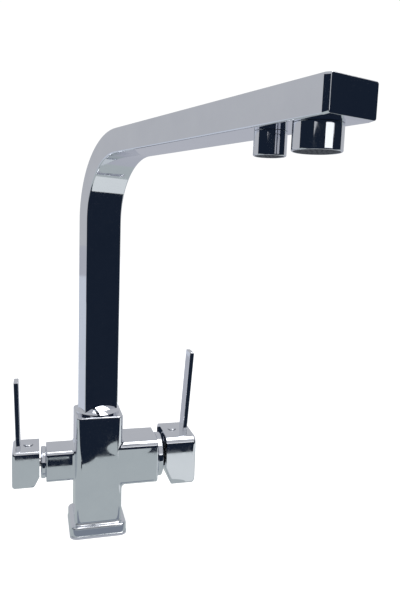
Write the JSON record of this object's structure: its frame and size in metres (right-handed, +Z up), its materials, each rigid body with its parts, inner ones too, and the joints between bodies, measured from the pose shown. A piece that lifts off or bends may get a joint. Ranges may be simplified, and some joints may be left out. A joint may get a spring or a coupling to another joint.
{
  "type": "three way kitchen mixer tap",
  "caption": "Square chrome kitchen mixer with a swivelling right-angle spout, two outlets, a mixer handle on one side and a filtered water handle on the other.",
  "frame": {"origin": "Centre of the underside of the base plinth, on the deck and on the spout's swivel axis", "axes": "+Z up, -Y towards the user, +X towards the mixer handle"},
  "size_m": [0.1914, 0.336, 0.39],
  "materials": {
    "chrome": "polished chrome plate",
    "brass": "machined brass",
    "stainless": "turned stainless steel",
    "rubber": "moulded black rubber",
    "ceramic": "lapped ceramic",
    "plastic": "moulded acetal",
    "tube_plastic": "extruded drinking water tube"
  },
  "bodies": {
    "body": {"body_casting": "chrome", "base_plinth": "chrome", "base_seal": "rubber", "mixer_cartridge_seals": "rubber", "mixer_cartridge_housing": "plastic", "mixer_fixed_disc": "ceramic", "mixer_cartridge_nut": "brass", "mixer_neck_ring": "chrome", "filter_valve_seals": "rubber", "filter_fixed_disc": "ceramic", "filter_valve_body": "stainless", "filter_neck_ring": "chrome", "swivel_thrust_washer": "plastic", "swivel_bushes": "plastic", "spout_retaining_screw": "stainless", "filter_tube_seal": "rubber"},
    "spout": {"swivel_collar": "chrome", "spout_swivel_nipple": "brass", "swivel_o_rings": "rubber", "spout_tube": "chrome", "spout_end_cap": "chrome", "filter_water_tube": "tube_plastic", "main_outlet_socket": "brass", "main_aerator_sleeve": "chrome", "main_aerator_seal": "rubber", "main_aerator_insert": "plastic", "main_aerator_screens": "stainless", "filter_outlet_socket": "brass", "filter_outlet_sleeve": "chrome", "filter_outlet_seal": "rubber", "filter_outlet_insert": "plastic"},
    "mixer_carrier": {"mixer_turning_sleeve": "plastic", "mixer_pivot_pin": "stainless"},
    "mixer_disc": {"mixer_moving_disc": "ceramic", "mixer_disc_carrier": "plastic"},
    "mixer_handle": {"mixer_stem": "stainless", "mixer_handle_block": "chrome", "mixer_lever": "chrome", "mixer_grub_screw": "stainless", "mixer_screw_cap": "chrome"},
    "filter_handle": {"filter_moving_disc": "ceramic", "filter_spindle": "stainless", "filter_handle_block": "chrome", "filter_lever": "chrome", "filter_grub_screw": "stainless", "filter_screw_cap": "chrome"}
  },
  "joints": [
    {"name": "spout_swivel", "type": "hinge", "parent": "body", "child": "spout", "pos_m": [0, 0, 0.1], "axis": [0, 0, 1], "continuous": true},
    {"name": "mixer_turn", "type": "hinge", "parent": "body", "child": "mixer_carrier", "pos_m": [0.052, 0, 0.0715], "axis": [1, 0, 0], "range_deg": [-45, 45]},
    {"name": "mixer_tilt", "type": "hinge", "parent": "mixer_carrier", "child": "mixer_handle", "pos_m": [0.052, 0, 0.0715], "axis": [0, 1, 0], "range_deg": [0, 10]},
    {"name": "mixer_disc_slide", "type": "slide", "parent": "mixer_carrier", "child": "mixer_disc", "axis": [0, 0, 1], "range_m": [0, 0.00314]},
    {"name": "filter_turn", "type": "hinge", "parent": "body", "child": "filter_handle", "pos_m": [-0.045, 0, 0.0715], "axis": [1, 0, 0], "range_deg": [0, 90]}
  ],
  "couplings": [
    {"joint": "mixer_disc_slide", "follows": "mixer_tilt", "m_per_rad": 0.018}
  ]
}
